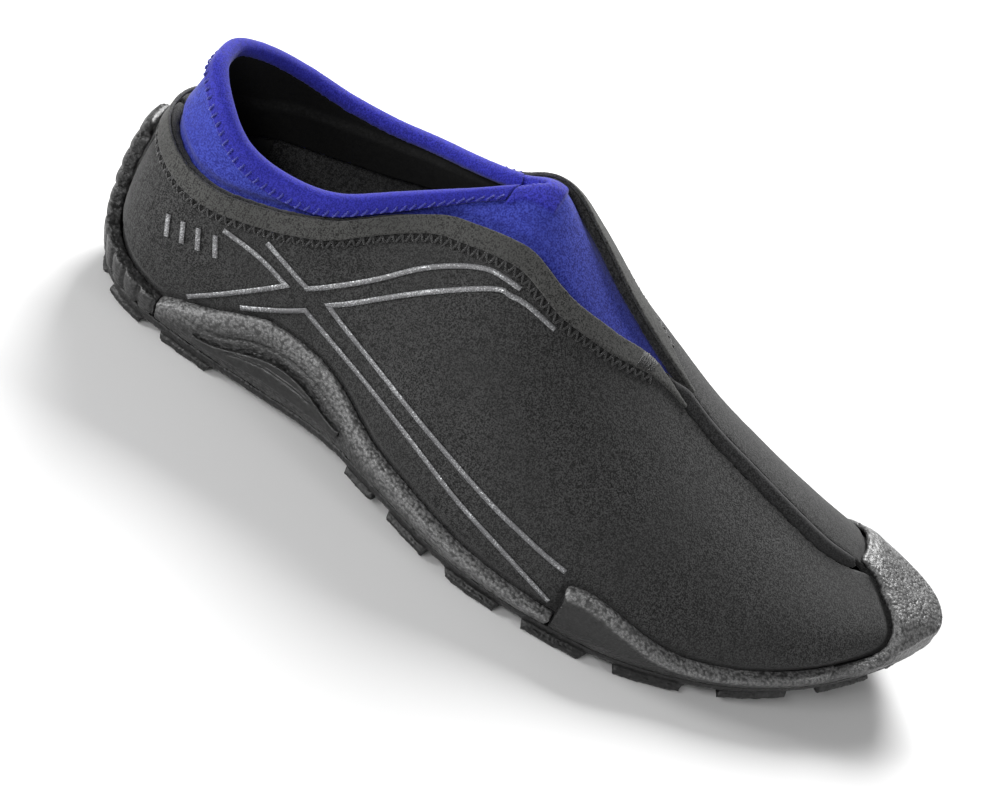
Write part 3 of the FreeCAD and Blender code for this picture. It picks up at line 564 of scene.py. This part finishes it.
def lipped(piece, node, bead, spread):
    """Rolls the upper edge of a rubber wall into a rounded bead, and marks it for a painted
    highlight.
    """
    points = coordinates(piece)
    edge = cad_points(node)
    top = np.full(len(points), NO_EDGE)
    for sign in (-1, 1):
        part = edge[(edge[:, 1] - sole_middle(edge[:, 0])) * sign >= 0]
        if len(part) < FEWEST_POINTS:
            continue
        places, tops = edge_line(part, 2, 0, np.max, LIP_WIDTH)
        here = (points[:, 1] - sole_middle(points[:, 0])) * sign >= 0
        top[here] = np.interp(points[here, 0], places, tops)
    out = directions(piece)
    sideways = np.clip(1.6 * np.linalg.norm(out[:, :2], axis=1), 0, 1)
    below = top - points[:, 2]
    move(piece, bead * np.exp(-(((below - LIP_WIDTH) / LIP_WIDTH) ** 2)) * sideways)
    # Painted highlight: the bead pales the colour, and on the toe each face pales more the more it
    # faces up
    lip_highlight = 1 - rise(below, LIP_FADE * LIP_WIDTH, spread * LIP_WIDTH)
    toe = rise(points[:, 0], cad_high.x - TOE_START, cad_high.x - TOE_FULL)
    lip_highlight = lip_highlight * (1 - toe) + TOE_LIP_HIGHLIGHT * toe * np.clip(1.6 * out[:, 2] + 0.5, 0, 1)
    mark(piece, "lip_highlight", lip_highlight)


RUBBER_FOLD = 1.6 * MM


def rubber_piece(name, node, look, voxel=0.55 * MM, depth=0.10 * MM, shape=None, bead=None,
                 spread=2.4, rounds=2):
    """A rubber moulding, from its CAD node: bead, grooves, folds and narrowing at the ground."""
    piece = remeshed(welded(name, [node]), voxel, rounds)
    if bead is not None:
        lipped(piece, node, bead, spread)
    if shape:
        shape(piece)
    relief(piece, depth, RUBBER_FOLD)
    place(piece, tucked(coordinates(piece)))
    smooth_shading(piece)
    finish_piece(piece, look, node)


rubber_piece("outsole_rubber", "outsole", TREAD_RUBBER, voxel=0.8 * MM, depth=0.08 * MM,
             rounds=8)
rubber_piece("toe_rand_rubber", "toe_rand", BLACK_RUBBER, shape=ridged_toe, bead=0.8 * MM)
rubber_piece("heel_bumper_rubber", "heel_bumper", SIDEWALL_RUBBER_PAINTED_LIGHT, shape=grooved_heel)
for side in ("lateral", "medial"):
    rubber_piece(f"midfoot_rand_{side}_rubber", f"midfoot_rand_{side}", SIDEWALL_RUBBER_PAINTED_LIGHT,
                 shape=lined_wave(side), bead=0.5 * MM, spread=5.5)
    rubber_piece(f"shank_insert_{side}_rubber", f"shank_insert_{side}", INSERT_RUBBER,
                 voxel=0.4 * MM, depth=0.06 * MM, shape=slit_insert(side))


# ---------------------------------------------------------------- cloth pieces

SWELL_VOXEL, SWELL_FRAMES, SWELL_CAP = 1.6 * MM, 14, 1.3 * MM
PIN_FULL, PIN_REACH = 1.2 * MM, 9 * MM
CLOTH_STIFFNESS, CLOTH_BENDING, CLOTH_PRESSURE = 12, 1.5, 4
NEIGHBOURS, NEIGHBOUR_SOFTNESS = 4, 0.2 * MM


def swelling(nodes, held_by):
    """Swells the nodes' solids a little by cloth simulation, held where other pieces touch them.

    Returns a function that gives the new place of any point near them."""
    cloth_body = remeshed(welded("simulated_cloth", nodes), SWELL_VOXEL, 1)
    rest = coordinates(cloth_body)
    held = surface_tree([NODES[n] for n in held_by])
    pins = cloth_body.vertex_groups.new(name="pins")
    for index, point in enumerate(rest):
        gap = held.find_nearest(Vector(point), PIN_REACH)[3]
        share = 0.0 if gap is None else 1 - rise(gap, PIN_FULL, PIN_REACH)
        pins.add([index], float(share), "REPLACE")
    setting = cloth_body.modifiers.new("cloth", "CLOTH").settings
    setting.quality = 4
    setting.mass = 0.3
    setting.tension_stiffness = CLOTH_STIFFNESS
    setting.compression_stiffness = CLOTH_STIFFNESS
    setting.bending_stiffness = CLOTH_BENDING
    setting.use_pressure = True
    setting.uniform_pressure_force = CLOTH_PRESSURE
    setting.vertex_group_mass = "pins"
    setting.effector_weights.gravity = 0
    for number in range(1, SWELL_FRAMES + 1):
        bpy.context.scene.frame_set(number)
    apply_modifiers(cloth_body)
    shift = coordinates(cloth_body) - rest
    length = np.linalg.norm(shift, axis=1, keepdims=True)
    shift = shift * np.minimum(1, SWELL_CAP / np.maximum(length, 1e-9))
    bpy.data.objects.remove(cloth_body)
    bpy.context.scene.frame_set(1)
    tree = KDTree(len(rest))
    for index, point in enumerate(rest):
        tree.insert(point, index)
    tree.balance()

    def swollen(points):
        out = np.empty_like(points)
        for k, point in enumerate(points):
            near = tree.find_n(point, NEIGHBOURS)
            weights = np.array([1 / (gap + NEIGHBOUR_SOFTNESS) for _, _, gap in near])
            out[k] = weights @ shift[[index for _, index, _ in near]] / weights.sum()
        return points + out

    return swollen


CLOTH_FOLD, CLOTH_RELIEF = 3.5 * MM, 0.05 * MM


def cloth_piece(name, node, look, voxel, rounds=3, swell=None, shape=None):
    """A cloth or foam piece, from its CAD node: swollen where it is padded, and gently uneven."""
    piece = welded(name, [node])
    if shape:
        shape(piece)
    remeshed(piece, voxel, rounds)
    if swell:
        place(piece, swell(coordinates(piece)))
    relief(piece, CLOTH_RELIEF, CLOTH_FOLD)
    smooth_shading(piece)
    return finish_piece(piece, look, node)


BAND_LEAD, BAND_PAST_LINING, BAND_END = (2 * MM, 1 * MM), 3.2 * MM, 1.2 * MM
BAND_DROP, BAND_THICKNESS = (3.5 * MM, 4.2 * MM), 1.2 * MM


def taped_corner(piece):
    """Carries the binding round the mouth's front corner, as a raised band in the tape's colour."""
    points = coordinates(piece)
    start = cad_points("collar_binding")[:, 0].max()
    front = cad_points("collar_lining")[:, 0].max() + BAND_PAST_LINING
    places, tops = edge_line(cad_points("collar"), 2, 0, np.max, 2 * MM)
    below = np.interp(points[:, 0], places, tops) - points[:, 2]
    band = rise(points[:, 0], start - BAND_LEAD[0], start - BAND_LEAD[1])
    band = band * (1 - rise(points[:, 0], front, front + BAND_END))
    band = band * (1 - rise(below, *BAND_DROP))
    move(piece, BAND_THICKNESS * band)
    mark(piece, "band", band)
    smooth_shading(piece)


def seam_dipped(piece, holders, depth, radius):
    """Sinks the cloth where the rubber that is glued over it ends."""
    tree = surface_tree([NODES[n] for n in holders])
    points = coordinates(piece)
    gap = np.full(len(points), 1.0)
    for index, point in enumerate(points):
        found = tree.find_nearest(Vector(point), 3 * radius)[3]
        if found is not None:
            gap[index] = found
    move(piece, -depth * np.exp(-((gap / radius) ** 2)))


SINK_DEPTH, SINK_FULL, SINK_END = 3.4 * MM, 2 * MM, 11 * MM


def sunk_start(piece):
    """Sinks the cord's upper end under the tip of the throat."""
    points = coordinates(piece)
    start = points[:, 0].min()
    points[:, 2] -= SINK_DEPTH * (1 - rise(points[:, 0], start + SINK_FULL, start + SINK_END))
    place(piece, points)


UPPER = ["upper_lateral", "upper_medial"]
RUBBER = ["toe_rand", "midfoot_rand_lateral", "midfoot_rand_medial", "heel_bumper"]
HOLDERS = ["topline_hem", *RUBBER, "vamp_welt", "strobel_board", "collar", "heel_counter",
           "toe_puff"]
swell = swelling(UPPER, HOLDERS)

panel_lateral = cloth_piece("upper_panel_lateral", "upper_lateral", CHARCOAL, 0.9 * MM,
                            swell=swell)
panel_medial = cloth_piece("upper_panel_medial", "upper_medial", CHARCOAL, 0.9 * MM,
                           swell=swell)
for panel in (panel_lateral, panel_medial):
    seam_dipped(panel, RUBBER, 1.0 * MM, 1.5 * MM)
collar = cloth_piece("collar_knit", "collar", BLUE_KNIT, 0.6 * MM)
taped_corner(collar)
binding = cloth_piece("collar_rolled_binding", "collar_binding", BLUE_TAPE, 0.45 * MM)
cloth_piece("collar_lining_cloth", "collar_lining", LINING_CLOTH, 0.3 * MM, rounds=1)
hem = cloth_piece("topline_hem_tape", "topline_hem", HEM_CLOTH, 0.4 * MM)
cloth_piece("vamp_welt_cord", "vamp_welt", WELT_CLOTH, 0.4 * MM, shape=sunk_start)
footbed = cloth_piece("footbed_foam_pad", "footbed_foam", SOLE_FOAM, 0.9 * MM)
cloth_piece("footbed_cover_cloth", "footbed_cover", LINING_CLOTH, 0.4 * MM, rounds=1)


# ---------------------------------------------------------------- stitches and prints

def runs_of(node):
    """The two ends of each separate thread in a CAD node."""
    shape = bmesh.new()
    shape.from_mesh(NODES[node].data)
    bmesh.ops.remove_doubles(shape, verts=shape.verts, dist=WELD_DISTANCE)
    seen, runs = set(), []
    for first in shape.verts:
        if first in seen:
            continue
        seen.add(first)
        stack, group = [first], []
        while stack:
            vert = stack.pop()
            group.append(vert.co[:])
            for edge in vert.link_edges:
                other = edge.other_vert(vert)
                if other not in seen:
                    seen.add(other)
                    stack.append(other)
        points = np.array(group)
        middle = points.mean(0)
        axis = np.linalg.svd(points - middle, full_matrices=False)[2][0]
        reach = (points - middle) @ axis
        runs.append((middle + axis * reach.min(), middle + axis * reach.max()))
    shape.free()
    return runs


RING_STEPS, RING_SIDES, TWIST = 9, 6, 1.5 * MM
STITCH_ARCH, STITCH_EXTRA, STITCH_SINK = 0.22 * MM, 0.12, 0.5 * MM
SHORTEST_STITCH = 0.5 * MM
RIDE, PLY_OFFSET, PLY_RADIUS = 0.6, 0.45, 0.58


def ply(points, faces, start, along, normal, radius, lag):
    """Adds one ply of a stitch: a thin tube that winds round the stitch's arched middle line."""
    cross = along.cross(normal).normalized()
    turns = along.length / TWIST
    base = len(points)
    for i in range(RING_STEPS):
        t = i / (RING_STEPS - 1)
        sink = STITCH_SINK * abs(2 * t - 1) ** 5
        angle = 2 * math.pi * turns * t + lag
        lift = RIDE * radius + STITCH_ARCH * math.sin(math.pi * t) - sink
        centre = start + along * t + normal * lift
        centre += PLY_OFFSET * radius * (math.cos(angle) * normal + math.sin(angle) * cross)
        for k in range(RING_SIDES):
            around = 2 * math.pi * k / RING_SIDES
            reach = math.cos(around) * normal + math.sin(around) * cross
            points.append(tuple(centre + PLY_RADIUS * radius * reach))
    for i in range(RING_STEPS - 1):
        ring = base + i * RING_SIDES
        for k in range(RING_SIDES):
            p, q = ring + k, ring + (k + 1) % RING_SIDES
            faces.append((p, q, q + RING_SIDES, p + RING_SIDES))
    last = base + (RING_STEPS - 1) * RING_SIDES
    faces.append(tuple(base + k for k in reversed(range(RING_SIDES))))
    faces.append(tuple(last + k for k in range(RING_SIDES)))


def sewn(name, node, ground, look, radius=0.42 * MM):
    """Two-ply stitches that lie on the cloth and dip into it at their ends."""
    tree = surface_tree(ground)
    points, faces = [], []
    for start, end in runs_of(node):
        spare = (end - start) * STITCH_EXTRA
        a, normal_a, _, _ = tree.find_nearest(Vector(start - spare))
        b, normal_b, _, _ = tree.find_nearest(Vector(end + spare))
        along = b - a
        if along.length < SHORTEST_STITCH:
            continue
        normal = (normal_a + normal_b).normalized()
        for lag in (0, math.pi):
            ply(points, faces, a, along, normal, radius, lag)
    mesh = bpy.data.meshes.new(name)
    mesh.from_pydata(points, [], faces)
    piece = new_object(name, mesh)
    smooth_shading(piece)
    finish_piece(piece, look, node)


def puckered(piece, node, radius, depth):
    """Dimples the cloth under each stitch."""
    runs = runs_of(node)
    tree = KDTree(len(runs))
    for index, (a, b) in enumerate(runs):
        tree.insert((a + b) / 2, index)
    tree.balance()
    gap = np.array([tree.find(p)[2] for p in coordinates(piece)])
    move(piece, -depth * np.exp(-((gap / radius) ** 2)))
    smooth_shading(piece)


puckered(binding, "binding_stitching", 1.1 * MM, 0.30 * MM)
for piece in (panel_lateral, panel_medial):
    puckered(piece, "hem_stitching", 1.2 * MM, 0.35 * MM)
sewn("hem_zigzag_stitches", "hem_stitching", [panel_lateral, panel_medial, hem], BLACK_THREAD)
sewn("binding_stitches", "binding_stitching", [binding, collar], BLUE_THREAD, radius=0.36 * MM)
sewn("throat_bartack_stitches", "throat_bartack", [hem], BLACK_THREAD)


def printed(name, node):
    """The printed lines, laid on the swollen cloth."""
    piece = welded(name, [node])
    if swell:
        place(piece, swell(coordinates(piece)))
    finish_piece(piece, SILVER_PRINT, node)


for node in ("stripes_lateral", "stripes_medial", "heel_mark"):
    printed(node + "_print", node)

# These stay as the CAD has them, in materials of their own
for node, look in (("midsole", SOLE_FOAM), ("strobel_board", BOARD_FLEECE),
                   ("heel_counter", STIFF_SHEET), ("toe_puff", STIFF_SHEET)):
    for index in range(len(NODES[node].data.materials)):
        NODES[node].data.materials[index] = look


# ---------------------------------------------------------------- floor, light and camera

FLOOR_RADIUS, FLOOR_DROP = 12, 0.2 * MM

floor_mesh = bpy.data.meshes.new("floor")
shape = bmesh.new()
bmesh.ops.create_circle(shape, cap_ends=True, segments=64, radius=FLOOR_RADIUS)
shape.to_mesh(floor_mesh)
shape.free()
floor = new_object("floor", floor_mesh)
floor.location.z = -FLOOR_DROP
floor_look = Look("pale floor", 0.9, Specular_IOR_Level=0.1)
floor_look.colour(floor_look.mix(floor_look.noise(1.5), grey(0.70), grey(0.73)))
floor.data.materials.append(floor_look.material)


def softbox(name, place_at, size, watts):
    """A rectangular lamp that faces the middle of the shoe."""
    light = bpy.data.lights.new(name, "AREA")
    light.shape = "RECTANGLE"
    light.size, light.size_y = size
    light.energy = watts
    lamp = bpy.data.objects.new(name, light)
    bpy.context.scene.collection.objects.link(lamp)
    lamp.location = place_at
    lamp.rotation_euler = (centre - Vector(place_at)).to_track_quat("-Z", "Y").to_euler()


centre = (cad_low + cad_high) / 2
softbox("key", (-0.10, 0.85, 0.80), (0.55, 0.55), 26)
softbox("left", (-1.0, -0.35, 0.40), (0.3, 0.6), 9)
softbox("right", (0.95, -0.25, 0.45), (0.25, 0.6), 2)
softbox("front", (-0.35, -0.9, 0.75), (0.6, 0.16), 6)

world = bpy.data.worlds.new("studio")
world.use_nodes = True
world.node_tree.nodes["Background"].inputs["Color"].default_value = (1, 1, 1, 1)
world.node_tree.nodes["Background"].inputs["Strength"].default_value = 0.17
scene = bpy.context.scene
scene.world = world
scene.view_settings.view_transform = "Standard"

ELEVATION, ROLL, DISTANCE = math.radians(36), math.radians(31.5), 0.833
AIM_OFFSET = Vector((-9.27, 4.41, -22.45)) * MM
LENS, SENSOR_WIDTH, CLIP_END = 100.44, 36, 40
back = Vector((0, -math.cos(ELEVATION), math.sin(ELEVATION)))
right, up = Vector((1, 0, 0)), Vector((0, math.sin(ELEVATION), math.cos(ELEVATION)))
across = math.cos(ROLL) * right + math.sin(ROLL) * up
upward = -math.sin(ROLL) * right + math.cos(ROLL) * up
aim = centre + AIM_OFFSET
lens = bpy.data.cameras.new("camera")
lens.lens = LENS
lens.sensor_width = SENSOR_WIDTH
lens.clip_end = CLIP_END
camera = bpy.data.objects.new("camera", lens)
scene.collection.objects.link(camera)
camera.location = aim + DISTANCE * back
turn = np.array([across, upward, back]).T
camera.rotation_euler = Matrix(turn.tolist()).to_euler()
scene.camera = camera
